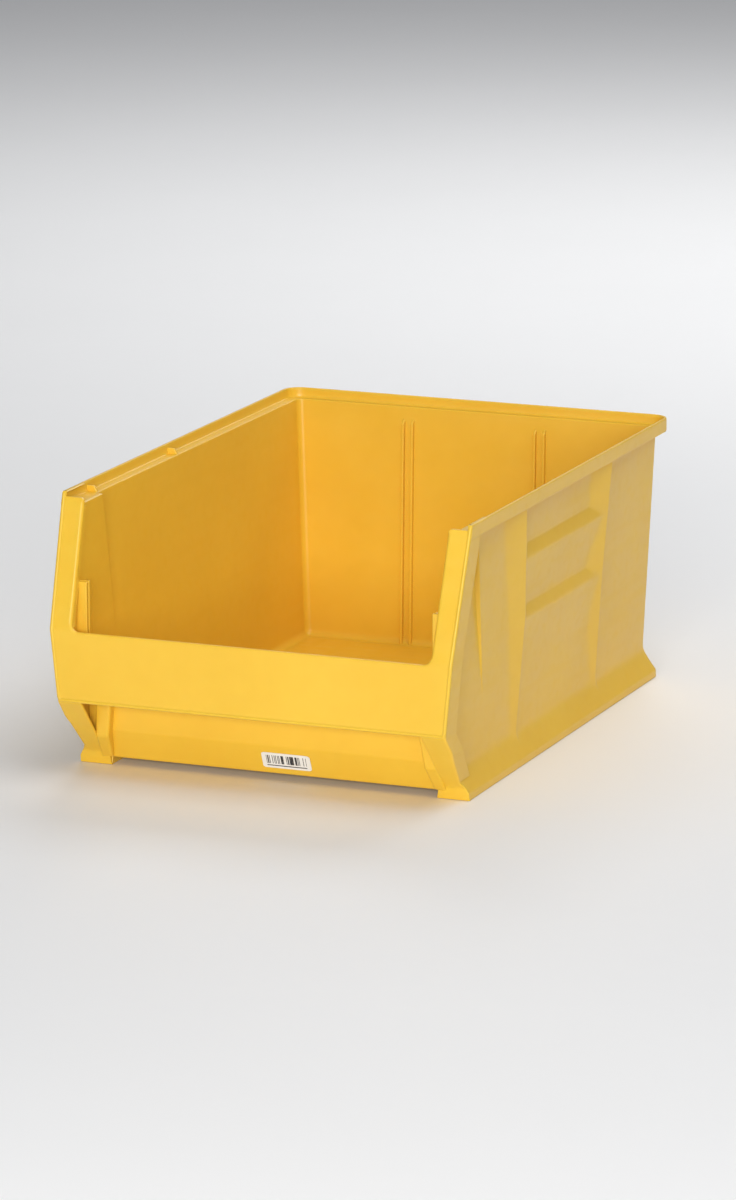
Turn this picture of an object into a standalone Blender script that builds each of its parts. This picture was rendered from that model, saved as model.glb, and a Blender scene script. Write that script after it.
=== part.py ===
"""Open hopper-front stacking bin, moulded in one piece, with its adhesive barcode label.

Lengths are in millimetres until point() turns them into metres. X runs across the bin, S runs
back from the nose of the front band, Z runs up from the feet. The world origin is at the centre
of the bin's footprint: world Y is S less half of the length.
"""

import math

import bmesh
import bpy
from mathutils import Vector

MM = 0.001

# Overall size, at the rim.
WIDTH = 419.0
LENGTH = 606.0
HEIGHT = 270.0
HALF = WIDTH / 2

# How far a cutter runs past the bin, how far two joined solids run into each other, and the small
# step that keeps two of their faces apart.
FAR = 60.0
LAP = 2.0
SINK = 0.5

# Walls of the tub: outer half widths and back positions at the floor, the crease and the ledge.
WALL = 3.4
FLOOR_UNDER = 7.0
FLOOR_TOP = 10.6
CREASE_Z = 30.0
TUB_TOP = 260.0
TUB_HALF_LOW = 187.0
TUB_HALF_CREASE = 188.5
TUB_HALF_TOP = 198.5
TUB_BACK_LOW = 592.5
TUB_BACK_TOP = 598.0
CORNER_R = 10.0
CORNER_STEPS = 5

# The narrower stretch of side wall behind the front frame, and the leaning step that ends it.
NECK_HALF = 191.0
STEP_S_AT_0 = 135.5
STEP_LEAN = -0.195

# Front profile, from the top of a front post down to the foot.
POST_TOP_S = 41.0
NOSE_Z = 144.0
POST_SLOPE = POST_TOP_S / (HEIGHT - NOSE_Z)
LIP_Z = 142.5
BAND_Z = 73.0
BAND_SET_S = 1.0
FOOT_FRONT_S = 58.0
FOOT_TOP_Z = 13.0
FRONT_PLATE = 4.0
FRAME_DEEP = 28.0
FRAME_RISE = 0.4
FRAME_INNER = 185.4
SHIN_TOP_S = 44.0
SHIN_BEND_S = 49.0
SHIN_BEND_Z = 37.0
SHIN_LOW_S = 62.0

# Front view of the frame: outer half widths from the feet to the rim, then the mouth.
FRAME_HALF = (
    (0.0, 191.8),
    (18.0, 194.0),
    (46.0, 197.2),
    (56.0, 199.2),
    (BAND_Z, 198.6),
    (NOSE_Z, 205.5),
    (HEIGHT, HALF),
)
CHEEK_INNER = 175.0
MOUTH_HALF_LOW = 183.5
MOUTH_HALF_TOP = 187.0
MOUTH_CORNER_R = 9.0

# Stacking rim.
RIM_UNDER = 256.0
LIP_WALL = 3.5
RIM_CORNER_R = 18.0
POST_STOP_Z = 265.0
LOCK_S = (93.0, 285.0)
LOCK_WIDE = 3.0
LOCK_HIGH = 6.0
LOCK_RAMP = 3.0

# Flared stacking skirt and the runners inside it.
SKIRT_HALF = 201.0
SKIRT_BACK = 603.0
SKIRT_KNEE_Z = 8.0
RUNNER_HALF = 169.0
RUNNER_WALL = 3.5

# Pilasters on each side wall, front then rear. Each row is a height, the S of the front toe, of the
# crest and of the heel, and how far the crest stands out.
PILASTERS = (
    (
        (CREASE_Z - LAP, 199.0, 212.0, 216.5, 2.2),
        (145.0, 180.0, 210.0, 224.0, 7.0),
        (RIM_UNDER + LAP, 152.0, 196.0, 212.0, 8.5),
    ),
    (
        (CREASE_Z - LAP, 425.0, 437.0, 441.5, 2.2),
        (145.0, 395.0, 429.0, 443.0, 7.0),
        (RIM_UNDER + LAP, 396.0, 439.0, 455.0, 8.5),
    ),
)
PILASTER_ROOT = 2.5

# Grip ledges between the pilasters: height of the top, stand-out, and the height where each fades
# below. The top slopes out and down by LEDGE_SLOPE.
LEDGES = ((217.0, 6.0, 160.0), (156.0, 5.2, 96.0))
LEDGE_SLOPE = 16.0

# Gussets under the front band: where each lies across the bin, and its front edge as (s, z).
GUSSET_SIDES = (((8.0, 166.0), (BAND_Z, 157.0)), ((8.0, 178.0), (BAND_Z, 173.5)))
GUSSET_EDGE = ((34.0, BAND_Z + LAP), (34.0, BAND_Z - LAP), (39.0, 33.0), (57.0, 8.0))

# Window guides behind the front posts.
GUIDE_REACH = 11.0
GUIDE_THICK = 3.0
GUIDE_Z = (BAND_Z + LAP, 187.0)
GUIDE_S = (23.5, 29.5)

# Divider slots on the back wall.
SLOT_X = 72.0
SLOT_RIB_GAP = 7.0
SLOT_RIB_WIDE = 3.0
SLOT_RIB_DEEP = 4.5
SLOT_RIB_TOP = 243.0

# Barcode label on the lower front wall.
LABEL_LONG = 50.0
LABEL_TALL = 18.0
LABEL_THICK = 0.4
LABEL_GAP = 0.3
LABEL_X = 16.0
LABEL_R = 2.5


def clear_scene():
    for item in list(bpy.data.objects):
        bpy.data.objects.remove(item, do_unlink=True)


def point(x, s, z):
    return Vector((x, s - LENGTH / 2, z)) * MM


def between(table, z):
    """Row of a table of heights and values, blended at height z, without its height."""
    for low, high in zip(table, table[1:]):
        if z <= high[0] or high is table[-1]:
            share = (z - low[0]) / (high[0] - low[0])
            return [a + (b - a) * share for a, b in zip(low[1:], high[1:])]


def solid(rings, name="piece"):
    """A closed solid through matching rings of points, with flat ends."""
    mesh = bmesh.new()
    rows = [[mesh.verts.new(spot) for spot in ring] for ring in rings]
    count = len(rows[0])
    for low, high in zip(rows, rows[1:]):
        for i in range(count):
            j = (i + 1) % count
            mesh.faces.new((low[i], low[j], high[j], high[i]))
    mesh.faces.new(rows[0][::-1])
    mesh.faces.new(rows[-1])
    bmesh.ops.recalc_face_normals(mesh, faces=mesh.faces)
    data = bpy.data.meshes.new(name)
    mesh.to_mesh(data)
    mesh.free()
    item = bpy.data.objects.new(name, data)
    bpy.context.scene.collection.objects.link(item)
    return item


def slab_x(outline, x0, x1):
    """Outline of (s, z) points, run from x0 to x1."""
    return solid([[point(x, s, z) for s, z in outline] for x in (x0, x1)])


def slab_y(outline, s0, s1):
    """Outline of (x, z) points, run from s0 to s1."""
    return solid([[point(x, s, z) for x, z in outline] for s in (s0, s1)])


def plan_ring(z, half, front, back, radius):
    """Rectangle seen from above, with its two back corners rounded."""
    spots = [(-half, front), (half, front)]
    for turn, cx in ((0.0, half - radius), (90.0, radius - half)):
        for step in range(CORNER_STEPS + 1):
            angle = math.radians(turn + 90.0 * step / CORNER_STEPS)
            spots.append((cx + radius * math.cos(angle), back - radius + radius * math.sin(angle)))
    return [point(x, s, z) for x, s in spots]


def combine(base, other, operation):
    """Applies one Boolean to base and removes the other solid."""
    change = base.modifiers.new(operation, "BOOLEAN")
    change.operation = operation
    change.object = other
    change.solver = "EXACT"
    graph = bpy.context.evaluated_depsgraph_get()
    made = bpy.data.meshes.new_from_object(base.evaluated_get(graph))
    base.modifiers.clear()
    base.data = made
    bpy.data.objects.remove(other, do_unlink=True)
    return base


def join(base, others):
    for other in others:
        combine(base, other, "UNION")
    return base


def cut(base, others):
    for other in others:
        combine(base, other, "DIFFERENCE")
    return base


def both_sides(make, *values):
    """Calls make(side, *values) for the right and the left side."""
    return [make(side, *values) for side in (1, -1)]


def tub_half(z):
    """Outer half width of the side walls at a height."""
    table = ((FLOOR_UNDER, TUB_HALF_LOW), (CREASE_Z, TUB_HALF_CREASE), (TUB_TOP, TUB_HALF_TOP))
    return between(table, z)[0]


def tub_back(z):
    return between(((FLOOR_UNDER, TUB_BACK_LOW), (TUB_TOP, TUB_BACK_TOP)), z)[0]


def post_s(z, inset=0.0):
    """Front face of a post, carried up and down at its own slope."""
    return POST_SLOPE * (z - NOSE_Z) + inset


def behind_posts(inset, low):
    """Everything behind the sloping plane of the posts and above a height."""
    top = HEIGHT + FAR
    back = LENGTH + FAR
    outline = [(post_s(low, inset), low), (back, low), (back, top), (post_s(top, inset), top)]
    return slab_x(outline, -HALF - FAR, HALF + FAR)


def neck_cutter(side, inset):
    """The room beside the narrower stretch of wall behind the front frame."""
    top = HEIGHT + FAR
    outline = [
        (-FAR, -FAR),
        (STEP_S_AT_0 - STEP_LEAN * FAR + inset, -FAR),
        (STEP_S_AT_0 + STEP_LEAN * top + inset, top),
        (-FAR, top),
    ]
    return slab_x(outline, side * (NECK_HALF - inset), side * (HALF + FAR))


def tub_outside():
    levels = (FLOOR_UNDER, CREASE_Z, TUB_TOP)
    tub = solid([plan_ring(z, tub_half(z), -FAR, tub_back(z), CORNER_R) for z in levels])
    cut(tub, both_sides(neck_cutter, 0.0))
    outline = [
        (-FAR / 2, HEIGHT + FAR),
        (-FAR / 2, BAND_Z),
        (SHIN_TOP_S, BAND_Z),
        (SHIN_BEND_S, SHIN_BEND_Z),
        (SHIN_LOW_S, FLOOR_UNDER),
        (SHIN_LOW_S, -FAR),
        (LENGTH + FAR, -FAR),
        (LENGTH + FAR, HEIGHT + FAR),
    ]
    return combine(tub, slab_x(outline, -HALF - FAR, HALF + FAR), "INTERSECT")


def front_trim():
    """Everything behind the face of the posts, the band and the cheeks."""
    outline = [
        (post_s(HEIGHT + FAR), HEIGHT + FAR),
        (0.0, NOSE_Z),
        (BAND_SET_S, BAND_Z),
        (FOOT_FRONT_S - LAP, FOOT_TOP_Z),
        (FOOT_FRONT_S, 0.0),
        (FOOT_FRONT_S, -FAR),
        (LENGTH + FAR, -FAR),
        (LENGTH + FAR, HEIGHT + FAR),
    ]
    return slab_x(outline, -HALF - FAR, HALF + FAR)


def cavity():
    levels = (FLOOR_TOP, CREASE_Z, HEIGHT + FAR / 2)
    radius = CORNER_R - WALL
    rings = [plan_ring(z, tub_half(z) - WALL, -FAR, tub_back(z) - WALL, radius) for z in levels]
    room = solid(rings)
    cut(room, both_sides(neck_cutter, WALL))
    outline = [
        (post_s(HEIGHT + FAR, FRONT_PLATE), HEIGHT + FAR),
        (FRONT_PLATE, NOSE_Z),
        (BAND_SET_S + FRONT_PLATE, BAND_Z + WALL),
        (SHIN_TOP_S + WALL, BAND_Z + WALL),
        (SHIN_BEND_S + WALL, SHIN_BEND_Z + LAP / 2),
        (SHIN_LOW_S + WALL, FLOOR_TOP),
        (SHIN_LOW_S + WALL, -FAR),
        (LENGTH + FAR, -FAR),
        (LENGTH + FAR, HEIGHT + FAR),
    ]
    return combine(room, slab_x(outline, -HALF - FAR, HALF + FAR), "INTERSECT")


def frame_envelope(inset, top, s0):
    """Front view of the frame, its top and its bottom run past the bin where that is asked."""
    right = [(half - inset, z) for z, half in FRAME_HALF]
    right[0] = (right[0][0], -FAR)
    right[-1] = (right[-1][0], top)
    return slab_y(right + [(-x, z) for x, z in reversed(right)], s0, LENGTH)


def frame_back(deep, top, bottom):
    """Side view of the back edge of the front frame, from the foot up."""
    return [
        (FOOT_FRONT_S + deep, bottom),
        (FOOT_FRONT_S - 2 * LAP + deep, FOOT_TOP_Z + 5 * LAP),
        (deep, BAND_Z + 10.0),
        (deep, NOSE_Z - LAP),
        (post_s(top, deep), top),
    ]


def frame_side(side):
    """One side of the front frame: a face strip with a return along its outer edge."""
    outline = [(-FAR / 2, HEIGHT), (-FAR / 2, 0.0)] + frame_back(FRAME_DEEP, HEIGHT, 0.0)
    block = slab_x(outline, side * FRAME_INNER, side * (HALF + FAR))
    combine(block, frame_envelope(0.0, HEIGHT, -FAR), "INTERSECT")
    rise = FRAME_RISE * FRONT_PLATE
    outline = [
        (post_s(RIM_UNDER, FRONT_PLATE), RIM_UNDER),
        (FRONT_PLATE, NOSE_Z),
        (BAND_SET_S + FRONT_PLATE, BAND_Z + rise),
        (FOOT_FRONT_S - LAP + FRONT_PLATE, FOOT_TOP_Z + rise),
        (FOOT_FRONT_S + FRONT_PLATE, -FAR),
    ] + frame_back(FRAME_DEEP + FAR, RIM_UNDER, -FAR)
    pocket = slab_x(outline, side * (NECK_HALF - SINK), side * (HALF + FAR))
    combine(pocket, frame_envelope(WALL, HEIGHT + FAR, -2 * FAR), "INTERSECT")
    return combine(block, pocket, "DIFFERENCE")


def cheek(side):
    """The inner strip of a cheek, from the band down to the foot."""
    outline = [
        (-FAR / 2, BAND_Z + LAP),
        (-FAR / 2, FOOT_TOP_Z - LAP),
        (FOOT_FRONT_S + FRONT_PLATE, FOOT_TOP_Z - LAP),
        (FOOT_FRONT_S - LAP + FRONT_PLATE, FOOT_TOP_Z + LAP),
        (BAND_SET_S + FRONT_PLATE, BAND_Z + LAP),
    ]
    return slab_x(outline, side * CHEEK_INNER, side * (FRAME_INNER + LAP))


def shin_flange(side):
    """The side wall carried forward past the lower front wall to the frame."""
    low, high = SINK, BAND_Z + LAP
    back = SHIN_LOW_S + WALL + LAP
    outline = [(-FAR / 4, high), (-FAR / 4, low), (back, low), (back, high)]
    return slab_x(outline, side * (TUB_HALF_LOW - WALL), side * (TUB_HALF_LOW + SINK))


def foot_front(side):
    outline = [
        (RUNNER_HALF * side, 0.0),
        (SKIRT_HALF * side, 0.0),
        ((SKIRT_HALF - LAP) * side, FOOT_TOP_Z),
        ((RUNNER_HALF + LAP) * side, FOOT_TOP_Z - LAP),
    ]
    return slab_y(outline, FOOT_FRONT_S + SINK, FOOT_FRONT_S + FRONT_PLATE + SINK)


def runner(side):
    outline = [
        (FOOT_FRONT_S + LAP, 0.0),
        (SKIRT_BACK - LAP, 0.0),
        (TUB_BACK_LOW - LAP, FLOOR_UNDER + LAP),
        (FOOT_FRONT_S + FRONT_PLATE, FLOOR_UNDER + LAP),
    ]
    return slab_x(outline, side * RUNNER_HALF, side * (RUNNER_HALF + RUNNER_WALL))


def skirt():
    """Flared skirt round the sides and the back, open underneath."""
    start = FOOT_FRONT_S + LAP
    crease_half = TUB_HALF_CREASE - LAP / 2
    crease_back = tub_back(CREASE_Z) - LAP / 2
    outer = [
        (0.0, SKIRT_HALF, SKIRT_BACK),
        (SKIRT_KNEE_Z, SKIRT_HALF - SINK, SKIRT_BACK - SINK),
        (CREASE_Z + LAP / 2, crease_half, crease_back),
    ]
    inner = [
        (-FAR, SKIRT_HALF - WALL, SKIRT_BACK - WALL),
        (SKIRT_KNEE_Z - LAP, SKIRT_HALF - WALL, SKIRT_BACK - WALL),
        (CREASE_Z - WALL - LAP / 2, crease_half - LAP, crease_back - LAP),
    ]
    radius = CORNER_R + WALL
    shell = solid([plan_ring(z, half, start, back, radius) for z, half, back in outer])
    room = solid([plan_ring(z, half, start - FAR, back, CORNER_R) for z, half, back in inner])
    return combine(shell, room, "DIFFERENCE")


def rim():
    """Stacking ledge with an upstanding outer lip, along the sides and the back."""
    levels = (RIM_UNDER, HEIGHT)
    ring = solid([plan_ring(z, HALF, -FAR, LENGTH, RIM_CORNER_R) for z in levels])
    return combine(ring, behind_posts(LAP / 2, RIM_UNDER - FAR), "INTERSECT")


def ledge_room():
    """The room above the ledge, inside the lip and behind the front posts."""
    levels = (TUB_TOP, HEIGHT + FAR / 2)
    inner = HALF - LIP_WALL
    back = LENGTH - LIP_WALL
    radius = RIM_CORNER_R - LIP_WALL
    room = solid([plan_ring(z, inner, -FAR, back, radius) for z in levels])
    return combine(room, behind_posts(FRONT_PLATE + LAP / 2, TUB_TOP - FAR), "INTERSECT")


def post_top_cut():
    """Lowers the top of each post inside the lip."""
    half = HALF - LIP_WALL - LAP / 2
    top = HEIGHT + FAR
    outline = [(-half, POST_STOP_Z), (half, POST_STOP_Z), (half, top), (-half, top)]
    return slab_y(outline, -FAR, POST_TOP_S + FRAME_DEEP)


def mouth():
    """Front opening between the posts and above the band."""
    spots = [(MOUTH_HALF_TOP, HEIGHT + FAR)]
    for step in range(CORNER_STEPS + 1):
        angle = math.radians(90.0 * step / CORNER_STEPS)
        x = MOUTH_HALF_LOW - MOUTH_CORNER_R * (1 - math.cos(angle))
        spots.append((x, LIP_Z + MOUTH_CORNER_R * (1 - math.sin(angle))))
    outline = spots + [(-x, z) for x, z in reversed(spots)]
    return slab_y(outline, -FAR, POST_TOP_S + FRAME_DEEP / 2)


def pilaster(side, table):
    """A tapered, three-sided rib on a side wall."""
    rings = []
    for z, toe, crest, heel, stand in table:
        wall = tub_half(min(z, TUB_TOP))
        root = wall - PILASTER_ROOT
        ring = [(root, toe), (wall, toe), (wall + stand, crest), (wall, heel), (root, heel)]
        rings.append([point(side * x, s, z) for x, s in ring])
    return solid(rings)


def grip_ledge(side, z, stand, fade):
    """A wedge between the pilasters: a sloping top that fades back into the wall below it."""
    rings = []
    for table, inset in zip(PILASTERS, (SINK, -SINK)):
        section = []
        for x, height in (
            (tub_half(z) - PILASTER_ROOT, z),
            (tub_half(z) + SINK, z),
            (tub_half(z - LEDGE_SLOPE) + stand, z - LEDGE_SLOPE),
            (tub_half(fade) - SINK / 2, fade),
            (tub_half(fade) - PILASTER_ROOT, fade),
        ):
            crest = between(table, height)[1]
            section.append(point(side * x, crest - inset, height))
        rings.append(section)
    return solid(rings)


def gusset(side):
    back = [
        (SHIN_LOW_S + LAP, GUSSET_EDGE[-1][1]),
        (SHIN_BEND_S + LAP, SHIN_BEND_Z),
        (SHIN_TOP_S + LAP, BAND_Z + LAP),
    ]
    outline = list(GUSSET_EDGE) + back
    return solid(
        [[point(side * between(sides, z)[0], s, z) for s, z in outline] for sides in GUSSET_SIDES]
    )


def window_guide(side, s):
    """One of the two upright ribs that a front window slides down between."""
    (low, high), inner = GUIDE_Z, NECK_HALF - WALL
    outline = [(s, low), (s + GUIDE_THICK, low), (s + GUIDE_THICK, high), (s, high)]
    return slab_x(outline, side * (inner - GUIDE_REACH), side * (inner + LAP))


def slot_rib(side, centre):
    """One of the two ribs beside a divider slot, its top chamfered into the back wall."""
    x0 = centre + side * SLOT_RIB_GAP / 2
    foot = tub_back(FLOOR_TOP) - WALL
    head = tub_back(SLOT_RIB_TOP) - WALL
    outline = [
        (foot + LAP, FLOOR_TOP - LAP),
        (foot - SLOT_RIB_DEEP, FLOOR_TOP - LAP),
        (head - SLOT_RIB_DEEP, SLOT_RIB_TOP),
        (head + LAP, SLOT_RIB_TOP + SLOT_RIB_DEEP),
    ]
    return slab_x(outline, x0, x0 + side * SLOT_RIB_WIDE)


def ledge_lock(side, s):
    """A low stop across the stacking ledge, ramped on its inner side."""
    inner = tub_half(TUB_TOP) - WALL + SINK
    if s < STEP_S_AT_0 + STEP_LEAN * TUB_TOP + WALL:
        inner = NECK_HALF - WALL + SINK
    outer = HALF - LIP_WALL / 2
    outline = [
        (side * inner, TUB_TOP - LAP / 2),
        (side * outer, TUB_TOP - LAP / 2),
        (side * outer, TUB_TOP + LOCK_HIGH),
        (side * (inner + LOCK_RAMP), TUB_TOP + LOCK_HIGH),
        (side * inner, TUB_TOP + LAP / 2),
    ]
    return slab_y(outline, s - LOCK_WIDE / 2, s + LOCK_WIDE / 2)


def build_bin():
    bin_body = tub_outside()
    join(bin_body, both_sides(frame_side) + both_sides(cheek) + both_sides(shin_flange))
    combine(bin_body, front_trim(), "INTERSECT")
    join(bin_body, [rim(), skirt()] + both_sides(foot_front) + both_sides(runner))
    for table in PILASTERS:
        join(bin_body, both_sides(pilaster, table))
    for ledge in LEDGES:
        join(bin_body, both_sides(grip_ledge, *ledge))
    join(bin_body, both_sides(gusset))
    cut(bin_body, [cavity(), ledge_room(), post_top_cut(), mouth()])
    for s in GUIDE_S:
        join(bin_body, both_sides(window_guide, s))
    for centre in (-SLOT_X, SLOT_X):
        join(bin_body, both_sides(slot_rib, centre))
    for s in LOCK_S:
        join(bin_body, both_sides(ledge_lock, s))
    bin_body.name = "bin_body"
    bin_body.data.name = "bin_body"
    return bin_body


def build_label():
    """A thin rounded label on the sloping lower front wall."""
    run = SHIN_LOW_S - SHIN_BEND_S
    drop = SHIN_BEND_Z - FLOOR_UNDER
    tilt = math.hypot(run, drop)
    down = Vector((0.0, run / tilt, -drop / tilt))
    out = Vector((0.0, -drop / tilt, -run / tilt))
    middle = Vector((LABEL_X, SHIN_BEND_S + run / 2, SHIN_BEND_Z - drop / 2))
    spots = []
    for turn, cx, cy in ((0, 1, 1), (90, -1, 1), (180, -1, -1), (270, 1, -1)):
        for step in range(CORNER_STEPS + 1):
            angle = math.radians(turn + 90.0 * step / CORNER_STEPS)
            u = cx * (LABEL_LONG / 2 - LABEL_R) + LABEL_R * math.cos(angle)
            v = cy * (LABEL_TALL / 2 - LABEL_R) + LABEL_R * math.sin(angle)
            spots.append(Vector((u, 0.0, 0.0)) + v * down)
    lifts = (LABEL_GAP, LABEL_GAP + LABEL_THICK)
    rings = [[point(*(middle + spot + lift * out)) for spot in spots] for lift in lifts]
    return solid(rings, "barcode_label")


def paint(item, name, colour, roughness):
    material = bpy.data.materials.new(name)
    material.use_nodes = True
    shader = material.node_tree.nodes["Principled BSDF"]
    shader.inputs["Base Color"].default_value = (*colour, 1.0)
    shader.inputs["Roughness"].default_value = roughness
    item.data.materials.clear()
    item.data.materials.append(material)


def tidy(item):
    """Merges the slivers that the Booleans leave and splits every face into triangles."""
    mesh = bmesh.new()
    mesh.from_mesh(item.data)
    bmesh.ops.remove_doubles(mesh, verts=mesh.verts, dist=0.00002)
    bmesh.ops.dissolve_degenerate(mesh, edges=mesh.edges, dist=0.00001)
    bmesh.ops.triangulate(mesh, faces=mesh.faces)
    bmesh.ops.recalc_face_normals(mesh, faces=mesh.faces)
    mesh.to_mesh(item.data)
    mesh.free()


clear_scene()
body = build_bin()
tidy(body)
paint(body, "polypropylene_yellow", (0.85, 0.50, 0.03), 0.35)
label = build_label()
paint(label, "label_paper", (0.85, 0.85, 0.82), 0.6)
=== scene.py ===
import math

import bmesh
import bpy
import numpy as np
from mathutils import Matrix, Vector, geometry


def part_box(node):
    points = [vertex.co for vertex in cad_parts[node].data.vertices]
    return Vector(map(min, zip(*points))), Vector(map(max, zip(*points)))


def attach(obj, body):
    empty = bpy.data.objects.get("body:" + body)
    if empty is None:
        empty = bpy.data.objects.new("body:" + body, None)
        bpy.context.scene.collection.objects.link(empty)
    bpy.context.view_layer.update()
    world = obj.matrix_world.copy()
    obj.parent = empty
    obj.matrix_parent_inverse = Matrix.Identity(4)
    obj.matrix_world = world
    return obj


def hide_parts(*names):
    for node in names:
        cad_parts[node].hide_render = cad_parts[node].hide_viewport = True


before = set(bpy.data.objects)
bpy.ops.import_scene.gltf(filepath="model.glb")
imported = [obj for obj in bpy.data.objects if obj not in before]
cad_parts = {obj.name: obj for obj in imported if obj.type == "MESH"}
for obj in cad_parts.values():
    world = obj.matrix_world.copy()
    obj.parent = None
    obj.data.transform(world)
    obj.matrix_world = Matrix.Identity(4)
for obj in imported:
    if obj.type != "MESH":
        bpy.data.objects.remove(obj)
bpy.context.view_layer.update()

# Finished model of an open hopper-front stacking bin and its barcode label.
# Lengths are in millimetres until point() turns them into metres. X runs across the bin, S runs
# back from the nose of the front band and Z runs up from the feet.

MM = 0.001
BODY_LOW, BODY_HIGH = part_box("bin_body")
LABEL_LOW, LABEL_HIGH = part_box("barcode_label")

# Overall size, from the frame.
HALF = BODY_HIGH.x / MM
LENGTH = (BODY_HIGH.y - BODY_LOW.y) / MM
HEIGHT = BODY_HIGH.z / MM

# Tub walls: outer half widths and back positions at the floor, the crease and the ledge.
WALL = 3.4
FLOOR_UNDER = 7.0
FLOOR_TOP = 10.6
CREASE_Z = 30.0
TUB_TOP = 260.0
TUB_HALF = ((FLOOR_UNDER, 187.0), (CREASE_Z, 188.5), (TUB_TOP, 198.5))
TUB_BACK = ((FLOOR_UNDER, 592.5), (TUB_TOP, 598.0))
CORNER_R = 10.0

# The narrower side wall behind the front frame, and the leaning step that ends it.
NECK_HALF = 191.0
STEP_S_AT_0 = 135.5
STEP_LEAN = -0.195
STEP_SOFT = 1.3

# Front profile, the depths of the frame behind it, and the lower front wall as (s, z) points.
NOSE_Z = 144.0
POST_TOP_S = 41.0
POST_SLOPE = POST_TOP_S / (HEIGHT - NOSE_Z)
LIP_Z = 142.5
BAND_Z = 73.0
BAND_SET_S = 1.0
FOOT_FRONT_S = 58.0
FOOT_LEAN = 2.0
FOOT_TOP_Z = 13.0
CHEEK_SLOPE = (FOOT_FRONT_S - FOOT_LEAN - BAND_SET_S) / (BAND_Z - FOOT_TOP_Z)
NOSE_SOFT = 0.8
BEND_SOFT = 1.5
PLATE = 4.0
FRAME_DEEP = 28.0
POST_RETURN = 10.0
RETURN_LOW_Z = 62.0
FOOT_RETURN_Z = 20.0
# Heights where the front profile bends, with the rows of mesh on each side and their spacing.
FRAME_CREASES = ((NOSE_Z, 6, 1.0), (BAND_Z, 5, 0.8), (FOOT_TOP_Z, 4, 1.5))
SHIN = ((44.0, BAND_Z), (49.0, 37.0), (62.0, FLOOR_UNDER))
# Where the floor plate starts under the band, and where the wall's lowest rows start.
FLOOR_LIP_S = 2.5
FLOOR_ROWS_S = SHIN[-1][0] + 2.5

# Front view of the frame: outer half width at each height, then the foot, the mouth and the strips.
FRAME_HALF = (
    (18.0, 194.0), (46.0, 197.2), (51.0, 198.6), (56.0, 199.2), (BAND_Z, 198.6),
    (NOSE_Z, 205.5), (HEIGHT, HALF),
)
FOOT_SIDE = ((201.0, 0.0), (201.0, 7.0), (199.2, 10.5), (197.0, 14.0))
MOUTH_HALF = ((LIP_Z, 183.5), (HEIGHT, 186.0))
MOUTH_CORNER_R = 8.0
POST_TOP_R = 4.0
CHEEK_INNER = 175.0
FOOT_INNER = 168.0
FIELD_SET = 0.9
BEAD_R = 2.0
BEAD_SIDES = 12
# Radii of the frame's rounded front edges: at the ends, outside, on the cheeks, posts and band.
END_EDGE_R = 1.0
OUTER_EDGE_R = 2.2
CHEEK_EDGE_R = 1.6
POST_EDGE_R = 3.2
BAND_EDGE_R = 2.0
POST_STOP_Z = 265.0
POST_CORNER = 2.0
LIP_WALL = 3.5

# Rim and skirt.
RIM_UNDER = 256.0
RIM_CORNER_R = 18.0
SKIRT_HALF = 201.0
SKIRT_BACK = 603.0
SKIRT_CORNER_R = 14.0

# Pilasters, front then rear: height, S of the toe, the crest and the heel, and stand-out.
PILASTERS = (
    ((28.0, 199.0, 212.0, 216.5, 2.2), (145.0, 180.0, 210.0, 224.0, 7.0),
     (258.0, 152.0, 196.0, 212.0, 8.5)),
    ((28.0, 425.0, 437.0, 441.5, 2.2), (145.0, 395.0, 429.0, 443.0, 7.0),
     (258.0, 396.0, 439.0, 455.0, 8.5)),
)
CREST_SOFT = 1.2
TOE_SOFT = 1.2
# Heights between which the relief of a side wall grows above the skirt and ends under the rim.
RELIEF_GROWS = (20.0, 32.0)
RELIEF_ENDS = (258.0, 264.0)

# Grip ledges: height, stand-out and the height where each fades below.
LEDGES = ((209.0, 6.0, 160.0), (148.0, 5.2, 96.0))
LEDGE_SOFT = 0.6
# Shape of a ledge edge, as height from the ledge and share of the stand-out.
LEDGE_EDGE = (
    (-8.0, 1.0), (-6.4, 0.99), (-4.8, 0.93), (-2.4, 0.76), (0.0, 0.57),
    (2.4, 0.37), (4.8, 0.17), (6.4, 0.05), (8.0, 0.0),
)

# Closed section through a side wall. Each row is a height and a share of the way out from the wall.
SKIRT_OUTSIDE = (
    (0.0, 0.945), (0.35, 0.985), (1.0, 1.0), (4.0, 0.995), (6.6, 0.985), (7.6, 0.965),
    (8.8, 0.92), (10.5, 0.845), (14.0, 0.69), (18.0, 0.515), (22.0, 0.345), (25.5, 0.2),
    (28.0, 0.11), (30.0, 0.055), (32.0, 0.022), (34.5, 0.005), (37.0, 0.0),
)
RIM_OUTSIDE = (
    (251.0, 0.0), (253.4, 0.012), (254.8, 0.045), (255.6, 0.11), (255.95, 0.2), (256.0, 0.3),
    (256.0, 0.93), (256.25, 0.97), (256.9, 0.993), (258.0, 1.0), (263.0, 1.0), (268.2, 1.0),
    (269.2, 0.985), (269.8, 0.95), (270.0, 0.9), (270.0, 0.79), (269.8, 0.735), (269.2, 0.7),
)
LEDGE_INSIDE = (
    (268.2, 1.0), (263.6, 1.0), (261.8, 0.985), (260.7, 0.94), (260.15, 0.86), (260.0, 0.74),
    (260.0, 0.16), (259.85, 0.07), (259.3, 0.018), (258.4, 0.0),
)
SKIRT_INSIDE = (
    (7.3, 0.0), (16.0, 0.0), (22.0, 0.0), (23.6, 0.008), (20.0, 0.155), (14.0, 0.41),
    (9.5, 0.61), (7.6, 0.69), (5.8, 0.735), (3.6, 0.75), (0.8, 0.755), (0.25, 0.775), (0.0, 0.82),
)
# The fillet at the foot of the wall inside, and how far the wall runs in under the floor there.
FLOOR_FILLET_R = 7.0
FLOOR_LAP = 9.5
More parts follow.
